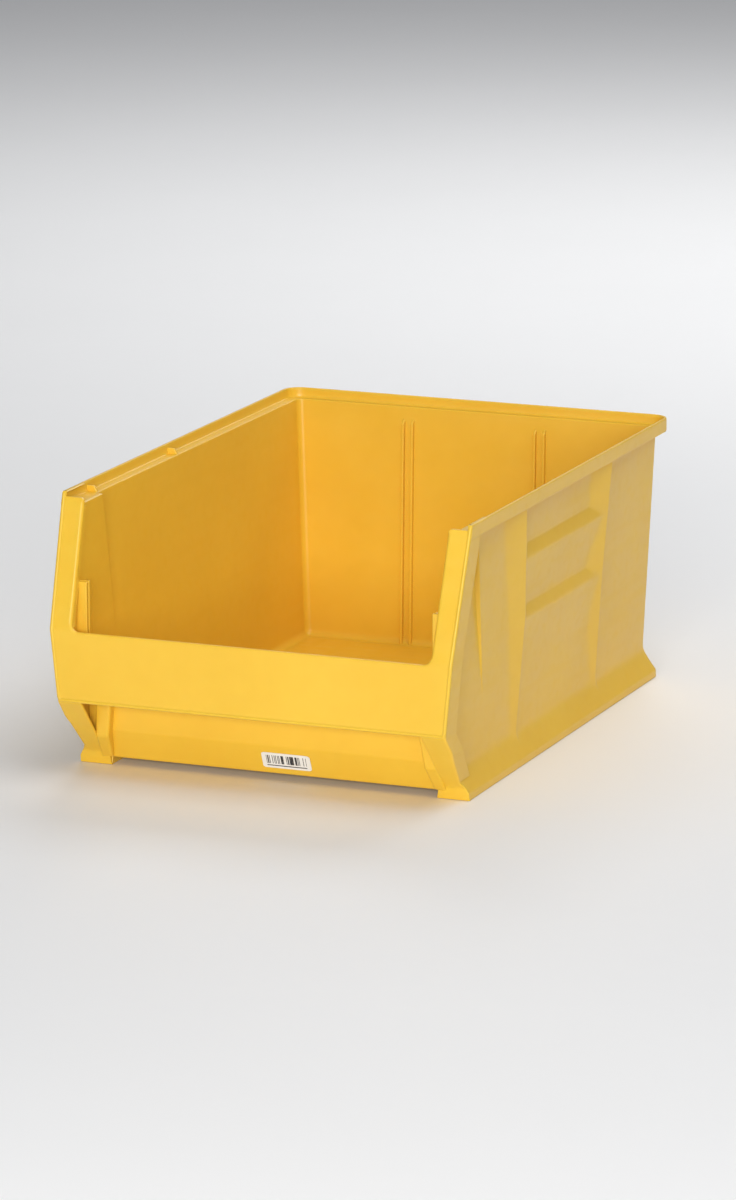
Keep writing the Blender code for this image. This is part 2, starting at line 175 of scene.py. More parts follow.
# Heights of the plain rows of the wall, and how near they may come to the rows of a ledge.
OUTSIDE_ROWS = range(42, 250, 7)
INSIDE_ROWS = range(250, 20, -15)
LEDGE_ROW_BELOW = 12.0
ROW_GAP = 2.4

# Gussets as (z, x) at two sides and (s, z) edges, then guides, divider slots, locks and runners.
GUSSET_SIDES = (((8.0, 166.0), (BAND_Z, 157.0)), ((8.0, 178.0), (BAND_Z, 173.5)))
GUSSET_EDGE = ((34.0, 75.0), (34.0, 71.0), (39.0, 33.0), (57.0, 8.0))
GUSSET_BACK = ((63.0, 8.0), (50.0, 37.0), (45.0, 75.0))
GUSSET_EDGE_R = 2.6
GUIDE_REACH = 11.0
GUIDE_THICK = 3.0
GUIDE_Z = (75.0, 187.0)
GUIDE_S = (23.5, 29.5)
SLOT_X = 72.0
SLOT_RIB_GAP = 7.0
SLOT_RIB_WIDE = 3.0
SLOT_RIB_DEEP = 4.5
SLOT_RIB_TOP = 243.0
LOCK_S = (93.0, 285.0)
LOCK_WIDE = 3.0
LOCK_HIGH = 6.0
LOCK_RAMP = 3.0
RUNNER_WALL = 3.5
RUNNER_SIDE = ((60.0, 0.0), (SKIRT_BACK - 2.0, 0.0), (590.0, 8.6), (62.5, 8.6))
SMALL_EDGE_R = 0.9

# Label: its paper, how much shorter it is than its box, and how one corner curls off the wall.
PAPER_THICK = 0.24
LABEL_CORNER_R = 2.2
LABEL_SHORTER = 0.5
LABEL_TALL = 18.0
CURL_FROM = 0.86
CURL_FOOT = 0.1
CURL_RATE = 4.0
LABEL_COLUMNS = 40
LABEL_LINES = 14

# How far a cutter runs past the bin, and how near two points are taken for one.
FAR = 60.0
MERGE = 0.02


def point(x, s, z):
    return Vector((x, s - LENGTH / 2, z)) * MM


def between(table, z):
    """Row of a table of heights and values, blended at height z, without its height."""
    for low, high in zip(table, table[1:]):
        if z <= high[0] or high is table[-1]:
            share = (z - low[0]) / (high[0] - low[0])
            return [a + (b - a) * share for a, b in zip(low[1:], high[1:])]


def smooth_step(t):
    t = np.clip(t, 0.0, 1.0)
    return t * t * (3.0 - 2.0 * t)


def smooth_max(a, b, soft):
    share = np.maximum(soft - np.abs(a - b), 0.0) / soft
    return np.maximum(a, b) + share * share * soft / 4.0


def smooth_min(a, b, soft):
    return -smooth_max(-a, -b, soft)


def quarter(steps):
    """Angles from nothing to a quarter turn."""
    return [math.radians(90.0 * step / steps) for step in range(steps + 1)]


# ---------------------------------------------------------------- mesh helpers


def object_from(mesh, name):
    """Turns a bmesh into a linked object and frees it."""
    bmesh.ops.recalc_face_normals(mesh, faces=mesh.faces)
    data = bpy.data.meshes.new(name)
    mesh.to_mesh(data)
    mesh.free()
    item = bpy.data.objects.new(name, data)
    bpy.context.scene.collection.objects.link(item)
    return item


def solid(rings, name="piece"):
    """A closed solid through matching rings of points, with flat ends."""
    mesh = bmesh.new()
    rows = [[mesh.verts.new(spot) for spot in ring] for ring in rings]
    count = len(rows[0])
    for low, high in zip(rows, rows[1:]):
        for i in range(count):
            j = (i + 1) % count
            mesh.faces.new((low[i], low[j], high[j], high[i]))
    mesh.faces.new(rows[0][::-1])
    mesh.faces.new(rows[-1])
    return object_from(mesh, name)


def slab_x(outline, x0, x1):
    """Outline of (s, z) points, run from x0 to x1."""
    return solid([[point(x, s, z) for s, z in outline] for x in (x0, x1)])


def slab_y(outline, s0, s1):
    """Outline of (x, z) points, run from s0 to s1."""
    return solid([[point(x, s, z) for x, z in outline] for s in (s0, s1)])


def bake(item):
    """Applies the item's modifiers."""
    graph = bpy.context.evaluated_depsgraph_get()
    made = bpy.data.meshes.new_from_object(item.evaluated_get(graph))
    item.modifiers.clear()
    item.data = made
    return item


def cut(base, other):
    """Cuts the other solid out of base and removes it."""
    change = base.modifiers.new("cut", "BOOLEAN")
    change.operation = "DIFFERENCE"
    change.object = other
    change.solver = "EXACT"
    bake(base)
    bpy.data.objects.remove(other, do_unlink=True)
    return base


def round_edges(item, width, segments=3):
    """Rounds the sharp edges of a piece."""
    mesh = bmesh.new()
    mesh.from_mesh(item.data)
    bmesh.ops.remove_doubles(mesh, verts=mesh.verts, dist=MERGE * MM)
    bmesh.ops.dissolve_limit(
        mesh, angle_limit=math.radians(1.0), verts=mesh.verts, edges=mesh.edges
    )
    layer = mesh.edges.layers.float.new("bevel_weight_edge")
    for edge in mesh.edges:
        if edge.is_manifold and edge.calc_face_angle() > math.radians(25.0):
            edge[layer] = 1.0
    mesh.to_mesh(item.data)
    mesh.free()
    change = item.modifiers.new("round", "BEVEL")
    change.limit_method = "WEIGHT"
    change.width = width * MM
    change.segments = segments
    return bake(item)


def both_sides(make, *values):
    """Calls make(side, *values) for the right and the left side."""
    return [make(side, *values) for side in (1, -1)]


# ---------------------------------------------------------------- tub, rim and skirt


def side_relief(s, z):
    """How far the pilasters and the grip ledges stand out of a side wall."""
    rise = np.zeros_like(s)
    for table in PILASTERS:
        toe, crest, heel, stand = between(table, z)
        ahead = stand * (s - toe) / (crest - toe)
        behind = stand * (heel - s) / (heel - crest)
        hump = smooth_max(smooth_min(ahead, behind, CREST_SOFT), 0.0, TOE_SOFT)
        rise = np.maximum(rise, hump)
    front = between(PILASTERS[0], z)[1]
    rear = between(PILASTERS[1], z)[1]
    for height, stand, fade in LEDGES:
        heights = [fade] + [height + dz for dz, _ in LEDGE_EDGE]
        shares = [0.0] + [share for _, share in LEDGE_EDGE]
        out = stand * np.interp(z, heights, shares)
        inside = (s > front) & (s < rear)
        rise = np.where(inside & (out > 0.0), smooth_max(rise, out, LEDGE_SOFT), rise)
    low, full = RELIEF_GROWS
    ends, high = RELIEF_ENDS
    return rise * smooth_step((z - low) / (full - low)) * smooth_step((high - z) / (high - ends))


def step_line(z):
    """S of the step behind the neck at a height."""
    return STEP_S_AT_0 + STEP_LEAN * z


def necked(base, neck, s, line):
    """The wall drawn in to the neck in front of the step line."""
    low = min(base, neck)
    return low + (base - low) * smooth_step((s - line + STEP_SOFT) / (2.0 * STEP_SOFT))


# Where the wall mesh has its columns, as shares of each stretch between two feature lines.
TO_STEP = (0.0, 0.2, 0.5, 0.8)
ACROSS_STEP = (0.0, 0.12, 0.24, 0.37, 0.5, 0.63, 0.76, 0.88)
TO_FRONT_PILASTER = (0.0, 0.2, 0.45, 0.7, 0.86, 0.94)
TOE_TO_CREST = (0.0, 0.05, 0.1, 0.17, 0.28, 0.42, 0.58, 0.74, 0.86, 0.93, 0.97, 0.99)
CREST_TO_HEEL = (0.0, 0.012, 0.035, 0.075, 0.15, 0.3, 0.48, 0.66, 0.8, 0.9, 0.96)
TO_REAR_PILASTER = (0.0, 0.03, 0.07, 0.14, 0.26, 0.4, 0.55, 0.7, 0.82, 0.9, 0.95, 0.98)
TO_CORNER = (0.0, 0.04, 0.09, 0.18, 0.35, 0.52, 0.7, 0.85)
SPREADS = (
    TO_STEP, ACROSS_STEP, TO_FRONT_PILASTER, TOE_TO_CREST, CREST_TO_HEEL, TO_REAR_PILASTER,
    TOE_TO_CREST, CREST_TO_HEEL, TO_CORNER,
)


def side_stations(z, front, back, inset):
    """Places along a side wall that follow its own feature lines at a height."""
    line = step_line(z) + inset
    marks = [front, line - STEP_SOFT, line + STEP_SOFT]
    for table in PILASTERS:
        marks += between(table, z)[:3]
    marks.append(back)
    spots = []
    for start, end, spread in zip(marks, marks[1:], SPREADS):
        spots += [start + (end - start) * share for share in spread]
    return np.array(spots + [back])


def front_s(z):
    """Front face of the bin at a height: post, nose, band, cheek and foot."""
    post = POST_SLOPE * (z - NOSE_Z)
    band = BAND_SET_S * (NOSE_Z - z) / (NOSE_Z - BAND_Z)
    cheek = BAND_SET_S + CHEEK_SLOPE * (BAND_Z - z)
    foot = FOOT_FRONT_S - FOOT_LEAN * z / FOOT_TOP_Z
    upper = smooth_max(post, band, NOSE_SOFT)
    return smooth_max(upper, smooth_min(cheek, foot, BEND_SOFT), BEND_SOFT)


CORNER_TURNS = quarter(9)[1:]
BACK_SHARES = np.linspace(0.0, 1.0, 22)[1:-1]


def section_rows():
    """The closed section of the tub wall: height, kind of row and its share or offset."""
    rows = [(z, "skirt", share) for z, share in SKIRT_OUTSIDE]
    heights = {float(z) for z in OUTSIDE_ROWS}
    for height, _, fade in LEDGES:
        edge = {height + dz for dz, _ in LEDGE_EDGE} | {fade, height - LEDGE_ROW_BELOW}
        heights = {z for z in heights if all(abs(z - near) > ROW_GAP for near in edge)} | edge
    rows += [(z, "rim", 0.0) for z in sorted(heights)]
    rows += [(z, "rim", share) for z, share in RIM_OUTSIDE]
    rows += [(z, "ledge", share) for z, share in LEDGE_INSIDE]
    rows += [(float(z), "inside", 0.0) for z in INSIDE_ROWS]
    for turn in quarter(6):
        height = FLOOR_TOP + FLOOR_FILLET_R * (1.0 - math.sin(turn))
        rows.append((height, "inside", FLOOR_FILLET_R * (1.0 - math.cos(turn))))
    rows += [(FLOOR_TOP - 0.4, "inside", FLOOR_LAP), (FLOOR_UNDER + 0.3, "inside", FLOOR_LAP)]
    rows += [(z, "skirt", share) for z, share in SKIRT_INSIDE]
    return rows


# For each kind of row: half width, back and corner radius where its share is 1, and its inset.
ROW_KINDS = {
    "skirt": (SKIRT_HALF, SKIRT_BACK, SKIRT_CORNER_R, 0.0),
    "rim": (HALF, LENGTH, RIM_CORNER_R, 0.0),
    "ledge": (HALF - LIP_WALL, LENGTH - LIP_WALL, RIM_CORNER_R - LIP_WALL, WALL),
    "inside": (HALF, LENGTH, RIM_CORNER_R, WALL),
}
LEAST_CORNER_R = 0.6


def tub_row(z, kind, value):
    """Points of one row of the tub wall, from the right front round the back to the left front."""
    half = between(TUB_HALF, z)[0]
    back = between(TUB_BACK, z)[0]
    far_half, far_back, far_r, inset = ROW_KINDS[kind]
    share, offset = (0.0, value) if kind == "inside" else (value, 0.0)
    near_r = CORNER_R - inset
    radius = max(near_r + (far_r - near_r) * share - offset, LEAST_CORNER_R)
    rear = back - inset + (far_back - back + inset) * share - offset
    front = front_s(z) + PLATE / 2.0
    if offset > 2.0:
        # Rows that turn in over the floor start behind the lower front wall.
        front = FLOOR_ROWS_S
    s = side_stations(z, front, rear - radius, inset)
    wall = necked(half - inset, NECK_HALF - inset, s, step_line(z) + inset)
    if kind in ("rim", "skirt"):
        wall = wall + side_relief(s, z)
    x = wall + (far_half - wall) * share - offset
    x[-1] = half - inset + (far_half - half + inset) * share - offset
    corner = x[-1] - radius
    right = list(zip(x, s))
    turn = [
        (corner + radius * math.cos(a), rear - radius + radius * math.sin(a)) for a in CORNER_TURNS
    ]
    across = [(corner - 2.0 * corner * share_x, rear) for share_x in BACK_SHARES]
    loop = right + turn + across
    loop += [(-a, b) for a, b in reversed(turn)] + [(-a, b) for a, b in reversed(right)]
    return [point(a, b, z) for a, b in loop]


def tub_wall():
    """Side and back walls with the rim and the skirt: one closed section swept round the bin."""
    rings = [tub_row(*row) for row in section_rows()]
    mesh = bmesh.new()
    rows = [[mesh.verts.new(spot) for spot in ring] for ring in rings]
    for low, high in zip(rows, rows[1:] + rows[:1]):
        for i in range(len(low) - 1):
            mesh.faces.new((low[i], low[i + 1], high[i + 1], high[i]))
    for end in (0, -1):
        ring = [row[end] for row in rows]
        flat = [Vector((vert.co.x, vert.co.z, 0.0)) for vert in ring]
        for corners in geometry.tessellate_polygon([flat]):
            mesh.faces.new([ring[i] for i in corners])
    return object_from(mesh, "tub_wall")


# ---------------------------------------------------------------- front frame


def frame_face():
    """Front view of the posts, the band, the cheeks and the feet, as one outline."""
    right = [(FOOT_INNER, 0.0)] + list(FOOT_SIDE)
    right += [(half, z) for z, half in FRAME_HALF[:-1]]
    right += [(HALF, HEIGHT - POST_CORNER), (HALF - 0.3 * POST_CORNER, HEIGHT - 0.3 * POST_CORNER)]
    right.append((HALF - POST_CORNER, HEIGHT))
    shelf = HALF - LIP_WALL - 1.0
    right += [(shelf + 0.8, HEIGHT), (shelf, HEIGHT - 0.8), (shelf, POST_STOP_Z)]
    top = between(MOUTH_HALF, POST_STOP_Z)[0]
    for turn in quarter(5):
        x = top + POST_TOP_R * (1.0 - math.sin(turn))
        right.append((x, POST_STOP_Z - POST_TOP_R * (1.0 - math.cos(turn))))
    for turn in quarter(6):
        x = MOUTH_HALF[0][1] - MOUTH_CORNER_R * (1.0 - math.cos(turn))
        right.append((x, LIP_Z + MOUTH_CORNER_R * (1.0 - math.sin(turn))))
    below = [(CHEEK_INNER - 1.0, BAND_Z), (CHEEK_INNER, FOOT_TOP_Z)]
    below.append((FOOT_INNER + 2.0, FOOT_TOP_Z - 1.0))
    left = [(-x, z) for x, z in reversed(right)]
    return right + left + [(-x, z) for x, z in reversed(below)] + below


def upright(outline, d0, d1):
    """An outline of (x, z) points run from depth d0 to d1 behind a flat front."""
    return solid([[Vector((x, d, z)) * MM for x, z in outline] for d in (d0, d1)])


def block(x0, x1, z0, z1, d0, d1):
    """A box between two positions across, two heights and two depths."""
    return upright([(x0, z0), (x1, z0), (x1, z1), (x0, z1)], d0, d1)


def edge_radius(x, z):
    """Radius of the rounded front edge of the frame at a point of its outline."""
    if z > POST_STOP_Z - POST_TOP_R or z < FOOT_TOP_Z + 2.0:
        return END_EDGE_R
    if abs(x) > NECK_HALF:
        return OUTER_EDGE_R
    if z < BAND_Z + 1.0:
        return CHEEK_EDGE_R
    return POST_EDGE_R if z > LIP_Z + MOUTH_CORNER_R - 0.1 else BAND_EDGE_R


def inset_outline(outline, amounts):
    """The outline of (x, z) points with every corner moved inward by its own amount."""
    moved = []
    for i, (x, z) in enumerate(outline):
        here = Vector((x, z))
        along = (here - Vector(outline[i - 1])).normalized()
        onward = (Vector(outline[(i + 1) % len(outline)]) - here).normalized()
        normals = Vector((-along.y - onward.y, along.x + onward.x))
        here += normals * amounts[i] / (1.0 + along.dot(onward))
        moved.append((here.x, here.y))
    return moved


def rounded_plate(outline, d0, d1, steps=6):
    """An outline run back from depth d0 to d1, with a rounded front edge."""
    radii = [edge_radius(x, z) for x, z in outline]
    rings = [[Vector((x, d1, z)) * MM for x, z in outline]]
    for step in range(steps + 1):
        turn = math.pi / 2.0 * step / steps
        ring = inset_outline(outline, [radius * (1.0 - math.cos(turn)) for radius in radii])
        depths = [d0 + radius * (1.0 - math.sin(turn)) for radius in radii]
        rings.append([Vector((x, depth, z)) * MM for (x, z), depth in zip(ring, depths)])
    return solid(rings)


def lean_back(item, creases=()):
    """Shears a piece modelled on a flat front so that it follows the bin's front profile."""
    mesh = bmesh.new()
    mesh.from_mesh(item.data)
    aside = 0.03
    for centre, count, gap in creases:
        for step in range(-count, count + 1):
            bmesh.ops.bisect_plane(
                mesh,
                geom=mesh.verts[:] + mesh.edges[:] + mesh.faces[:],
                dist=0.000001,
                plane_co=Vector((0.0, 0.0, centre + step * gap + aside)) * MM,
                plane_no=Vector((0.0, 0.0, 1.0)),
            )
    for vert in mesh.verts:
        x, depth, z = vert.co / MM
        vert.co = point(x, float(front_s(z)) + depth, z)
    mesh.to_mesh(item.data)
    mesh.free()
    return item


def front_frame():
    """Posts, band and cheeks with their returns: modelled flat, then sloped to the profile."""
    item = rounded_plate(frame_face(), FIELD_SET, FRAME_DEEP)
    behind = FRAME_DEEP + 10.0
    web = NECK_HALF - 1.0
    wide = HALF + FAR
    top = HEIGHT + FAR
    mouth = LIP_Z + 4.0
    heights = (RETURN_LOW_Z, BAND_Z, NOSE_Z, top)
    outer = [(between(FRAME_HALF, z)[0] - WALL, z) for z in heights]
    pocket = [(web, heights[0])] + outer + [(web, top)]
    cut(item, upright(pocket, PLATE, behind))
    cut(item, upright([(-x, z) for x, z in reversed(pocket)], PLATE, behind))
    cut(item, block(-web, web, mouth, top, POST_RETURN, behind))
    cut(item, block(-web, web, -FAR, mouth, PLATE, behind))
    cut(item, block(-wide, wide, RIM_UNDER + 1.0, top, PLATE, behind))
    cut(item, block(-wide, wide, -FAR, FOOT_RETURN_Z, PLATE, behind))
    return lean_back(item, FRAME_CREASES)


def tube(path, radius, sides):
    """A closed round bar along (x, z) points at one depth behind a flat front."""
    rings = []
    for i, (x, z) in enumerate(path):
        ahead = Vector(path[min(i + 1, len(path) - 1)])
        behind = Vector(path[max(i - 1, 0)])
        along = (ahead - behind).normalized()
        across = Vector((along.y, -along.x))
        ring = []
        for side in range(sides):
            turn = 2.0 * math.pi * side / sides
            out = across * (radius * math.cos(turn))
            ring.append(Vector((x + out.x, radius * (1.0 - math.sin(turn)), z + out.y)) * MM)
        rings.append(ring)
    return solid(rings)


def front_bead():
    """The rounded bead round the outer edge of the posts and along the bottom of the band."""
    low = BAND_Z + BEAD_R
    round_nose = (7, 5, 3, 1.5, 0, -1.5, -3, -5, -7)
    heights = [HEIGHT - BEAD_R - 0.2] + [float(z) for z in range(264, 152, -6)]
    heights += [NOSE_Z + step for step in round_nose]
    heights += [float(z) for z in range(132, 80, -6)] + [low + 3.0]
    right = [(between(FRAME_HALF, z)[0] - BEAD_R, z) for z in heights]
    corner = between(FRAME_HALF, low)[0] - BEAD_R
    right += [(corner - 0.6, low + 1.0), (corner - 2.0, low)]
    inner = [(float(x), low) for x in range(180, -181, -30)]
    path = right + inner + [(-x, z) for x, z in reversed(right)]
    return lean_back(tube(path, BEAD_R, BEAD_SIDES))


# ---------------------------------------------------------------- floor and small features


def filleted(corners, steps=6):
    """Outline whose corners (s, z, radius) are rounded."""
    spots = []
    count = len(corners)
    for i, (s, z, radius) in enumerate(corners):
        here = Vector((s, z))
        if radius == 0.0:
            spots.append((s, z))
            continue
        ahead = (Vector(corners[(i + 1) % count][:2]) - here).normalized()
        behind = (Vector(corners[i - 1][:2]) - here).normalized()
        angle = ahead.angle(behind)
        reach = radius / math.tan(angle / 2.0)
        centre = here + (ahead + behind).normalized() * (radius / math.sin(angle / 2.0))
        start = here + behind * reach - centre
        end = here + ahead * reach - centre
        sweep = start.angle_signed(end)
        for step in range(steps + 1):
            turn = -sweep * step / steps
            spot = centre + Vector(
                (
                    start.x * math.cos(turn) - start.y * math.sin(turn),
                    start.x * math.sin(turn) + start.y * math.cos(turn),
                )
            )
            spots.append((spot.x, spot.y))
    return spots


def floor_and_shin():
    """Underside of the hopper, lower front wall and floor: one bent plate across the bin."""
    (top_s, _), (bend_s, bend_z), (low_s, low_z) = SHIN
    end = between(TUB_BACK, FLOOR_UNDER)[0] - WALL / 2.0
    corners = [
        (FLOOR_LIP_S, BAND_Z + 0.5, 0.0),
        (top_s, BAND_Z + 0.5, 6.0),
        (bend_s, bend_z, 14.0),
        (low_s, low_z, 3.0),
        (end, low_z, 0.0),
        (end, FLOOR_TOP, 0.0),
        (low_s + PLATE, FLOOR_TOP, 6.0),
        (bend_s + PLATE, bend_z + 1.0, 10.0),
        (top_s + PLATE, BAND_Z + PLATE, 4.0),
        (FLOOR_LIP_S, BAND_Z + PLATE, 0.0),
    ]
    half = between(TUB_HALF, FLOOR_UNDER)[0] - WALL / 2.0
    return slab_x(filleted(corners), -half, half)


def gusset(side):
    """A tapered buttress under the band, in front of the lower front wall."""
    outline = GUSSET_EDGE + GUSSET_BACK
    item = solid(
        [[point(side * between(sides, z)[0], s, z) for s, z in outline] for sides in GUSSET_SIDES]
    )
    return round_edges(item, GUSSET_EDGE_R, 4)


def runner(side):
    """A low wall under the floor, from the foot to the back of the skirt."""
    item = slab_x(RUNNER_SIDE, side * FOOT_INNER, side * (FOOT_INNER + RUNNER_WALL))
    return round_edges(item, 0.7, 2)


def window_guide(side, s):
    """One of the two upright ribs that a front window slides down between."""
    (low, high), inner = GUIDE_Z, NECK_HALF - WALL
    outline = [(s, low), (s + GUIDE_THICK, low), (s + GUIDE_THICK, high), (s, high)]
    item = slab_x(outline, side * (inner - GUIDE_REACH), side * (inner + 1.2))
    return round_edges(item, SMALL_EDGE_R)


def slot_rib(side, centre):
    """One of the two ribs beside a divider slot, its top chamfered into the back wall."""
    x0 = centre + side * SLOT_RIB_GAP / 2.0
    foot = between(TUB_BACK, FLOOR_TOP)[0] - WALL
    head = between(TUB_BACK, SLOT_RIB_TOP)[0] - WALL
    outline = [
        (foot + 1.0, FLOOR_TOP - 1.0),
        (foot - SLOT_RIB_DEEP, FLOOR_TOP - 1.0),
        (head - SLOT_RIB_DEEP, SLOT_RIB_TOP),
        (head + 1.0, SLOT_RIB_TOP + SLOT_RIB_DEEP),
    ]
    return round_edges(slab_x(outline, x0, x0 + side * SLOT_RIB_WIDE), SMALL_EDGE_R)


def ledge_lock(side, s):
    """A low stop across the stacking ledge, ramped on its inner side."""
    neck = s < step_line(TUB_TOP) + WALL
    inner = (NECK_HALF if neck else between(TUB_HALF, TUB_TOP)[0]) - WALL + 0.8
    outer = HALF - LIP_WALL / 2.0
    outline = [
        (side * inner, TUB_TOP - 1.0),
        (side * outer, TUB_TOP - 1.0),
        (side * outer, TUB_TOP + LOCK_HIGH),
        (side * (inner + LOCK_RAMP), TUB_TOP + LOCK_HIGH),
        (side * inner, TUB_TOP + 1.0),
    ]
    return round_edges(slab_y(outline, s - LOCK_WIDE / 2.0, s + LOCK_WIDE / 2.0), SMALL_EDGE_R)


def merge(items, name):
    """Joins closed shells into one object with smooth, area-weighted shading."""
    mesh = bmesh.new()
    for item in items:
        mesh.from_mesh(item.data)
        bpy.data.objects.remove(item, do_unlink=True)
    bmesh.ops.recalc_face_normals(mesh, faces=mesh.faces)
    whole = object_from(mesh, name)
    whole.data.shade_smooth()
    whole.data.set_sharp_from_angle(angle=math.radians(32.0))
    weighted = whole.modifiers.new("weighted", "WEIGHTED_NORMAL")
    weighted.keep_sharp = True
    return whole


def build_bin():
    pieces = [tub_wall(), front_frame(), front_bead(), floor_and_shin()]
    pieces += both_sides(gusset) + both_sides(runner)
    for s in GUIDE_S:
        pieces += both_sides(window_guide, s)
    for centre in (-SLOT_X, SLOT_X):
        pieces += both_sides(slot_rib, centre)
    for s in LOCK_S:
        pieces += both_sides(ledge_lock, s)
    return merge(pieces, "moulded_bin")


def shin_down():
    """Direction down the slope of the lower front wall, where the label is stuck."""
    (bend_s, bend_z), (low_s, low_z) = SHIN[1:]
    return Vector((0.0, low_s - bend_s, low_z - bend_z)).normalized()


def label_grid(lift):
    """Rows of points over the label, lifted off the wall and curled up at one corner."""
    low, high = LABEL_LOW / MM, LABEL_HIGH / MM
    middle = (low + high) / 2.0
    down = shin_down()
    out = Vector((0.0, down.z, -down.y))
    long = high.x - low.x
    tall = math.hypot(high.y - low.y, high.z - low.z) - LABEL_SHORTER
    radius = LABEL_CORNER_R
    grid = []
    for j in range(LABEL_LINES + 1):
        v = (j / LABEL_LINES - 0.5) * tall
        pinch = max(0.0, abs(v) - tall / 2.0 + radius)
        half = long / 2.0 - radius + math.sqrt(max(radius**2 - pinch**2, 0.0))
        row = []
        for i in range(LABEL_COLUMNS + 1):
            u = (2.0 * i / LABEL_COLUMNS - 1.0) * half
            curl = CURL_RATE * max(0.0, u / half - CURL_FROM) * max(0.0, v / tall + CURL_FOOT)
            row.append((middle + Vector((u, 0.0, 0.0)) - v * down + (lift + curl) * out) * MM)
        grid.append(row)
    return grid


def grid_border(grid):
    """The outer points of a grid, in order round it."""
    border = grid[0] + [row[-1] for row in grid[1:]] + grid[-1][-2::-1]
    return border + [row[0] for row in grid[-2:0:-1]]


def build_label():
    """Paper label with rounded corners that follows the sloping lower front wall."""
    mesh = bmesh.new()
    lifts = (-PAPER_THICK / 2.0, PAPER_THICK / 2.0)
    layers = [[[mesh.verts.new(spot) for spot in row] for row in label_grid(lift)] for lift in lifts]
    for grid in layers:
        for a, b in zip(grid, grid[1:]):
            for i in range(LABEL_COLUMNS):
                mesh.faces.new((a[i], a[i + 1], b[i + 1], b[i]))
    under, over = [grid_border(grid) for grid in layers]
    for i in range(len(under)):
        j = (i + 1) % len(under)
        mesh.faces.new((under[i], under[j], over[j], over[i]))
    item = object_from(mesh, "paper_label")
    item.data.shade_smooth()
    item.data.set_sharp_from_angle(angle=math.radians(40.0))
    return item


# ---------------------------------------------------------------- materials


class Nodes:
    """Short calls for building a material's node tree."""

    def __init__(self, name):
        self.material = bpy.data.materials.new(name)
        self.material.use_nodes = True
        self.tree = self.material.node_tree
        self.shader = self.tree.nodes["Principled BSDF"]
        self.place = self.add("ShaderNodeTexCoord").outputs["Object"]

    def add(self, kind, **inputs):
        node = self.tree.nodes.new(kind)
        for key, value in inputs.items():
            self.put(node, key.replace("_", " "), value)
        return node

    def put(self, node, key, value):
        if isinstance(value, bpy.types.NodeSocket):
            self.tree.links.new(value, node.inputs[key])
        else:
            node.inputs[key].default_value = value

    def stretch(self, x, y, z):
        """Object coordinates multiplied along each axis."""
        node = self.add("ShaderNodeMapping", Vector=self.place)
        node.inputs["Scale"].default_value = (x, y, z)
        return node.outputs["Vector"]

    def noise(self, scale, detail=3.0, rough=0.5, vector=None):
        node = self.add("ShaderNodeTexNoise", Scale=scale, Detail=detail, Roughness=rough)
        self.put(node, "Vector", vector or self.place)
        return node.outputs["Fac"]

    def remap(self, value, low, high, to_low, to_high):
        node = self.add("ShaderNodeMapRange", Value=value)
        for key, number in zip(("From Min", "From Max", "To Min", "To Max"),
                               (low, high, to_low, to_high)):
            node.inputs[key].default_value = number
        return node.outputs["Result"]

    def math(self, kind, a, b=0.0):
        node = self.add("ShaderNodeMath")
        node.operation = kind
        self.put(node, 0, a)
        self.put(node, 1, b)
        return node.outputs[0]

    def mix(self, share, a, b):
        node = self.add("ShaderNodeMix")
        node.data_type = "RGBA"
        self.put(node, 0, share)
        self.put(node, 6, a)
        self.put(node, 7, b)
        return node.outputs[2]

    def bump(self, height, distance, strength, normal=None):
        node = self.add("ShaderNodeBump", Height=height, Distance=distance, Strength=strength)
        if normal:
            self.put(node, "Normal", normal)
        return node.outputs["Normal"]


YELLOW_DEEP = (0.83, 0.505, 0.038, 1.0)
YELLOW_LIGHT = (0.87, 0.545, 0.046, 1.0)
INK = (0.03, 0.03, 0.035, 1.0)
PAPER_DULL = (0.80, 0.80, 0.77, 1.0)
PAPER_BRIGHT = (0.88, 0.88, 0.86, 1.0)
FLOOR_DULL = (0.87, 0.87, 0.87, 1.0)
FLOOR_BRIGHT = (0.89, 0.89, 0.89, 1.0)


def polypropylene():
    """Satin yellow plastic: uneven tint, scuffs both ways, a fine grain and slightly wavy walls."""
    n = Nodes("yellow_polypropylene")
    cloud = n.noise(9.0, 4.0)
    mottle = n.noise(60.0, 1.0)
    tint = n.remap(n.math("ADD", cloud, n.math("MULTIPLY", mottle, 0.35)), 0.45, 0.95, 0.0, 1.0)
    colour = n.mix(tint, YELLOW_DEEP, YELLOW_LIGHT)
    scratch = n.noise(90.0, 0.0, 0.5, n.stretch(0.12, 1.0, 1.3))
    streak = n.noise(80.0, 0.0, 0.5, n.stretch(1.0, 0.12, 1.2))
    scuff = n.remap(n.math("MAXIMUM", scratch, streak), 0.5, 0.8, 0.0, 0.08)
    gloss = n.remap(n.noise(18.0, 2.0), 0.3, 0.7, 0.30, 0.38)
    n.put(n.shader, "Base Color", colour)
    n.put(n.shader, "Roughness", n.math("ADD", gloss, scuff))
    grain = n.noise(1500.0, 0.0, 0.5)
    wave = n.noise(14.0, 2.0, 0.4)
    normal = n.bump(wave, 0.0012, 0.25)
    n.put(n.shader, "Normal", n.bump(grain, 0.00005, 0.3, normal))
    n.put(n.shader, "IOR", 1.49)
    n.put(n.shader, "Subsurface Weight", 0.12)
    n.put(n.shader, "Subsurface Radius", (1.0, 0.55, 0.12))
    n.put(n.shader, "Subsurface Scale", 0.004)
    return n.material


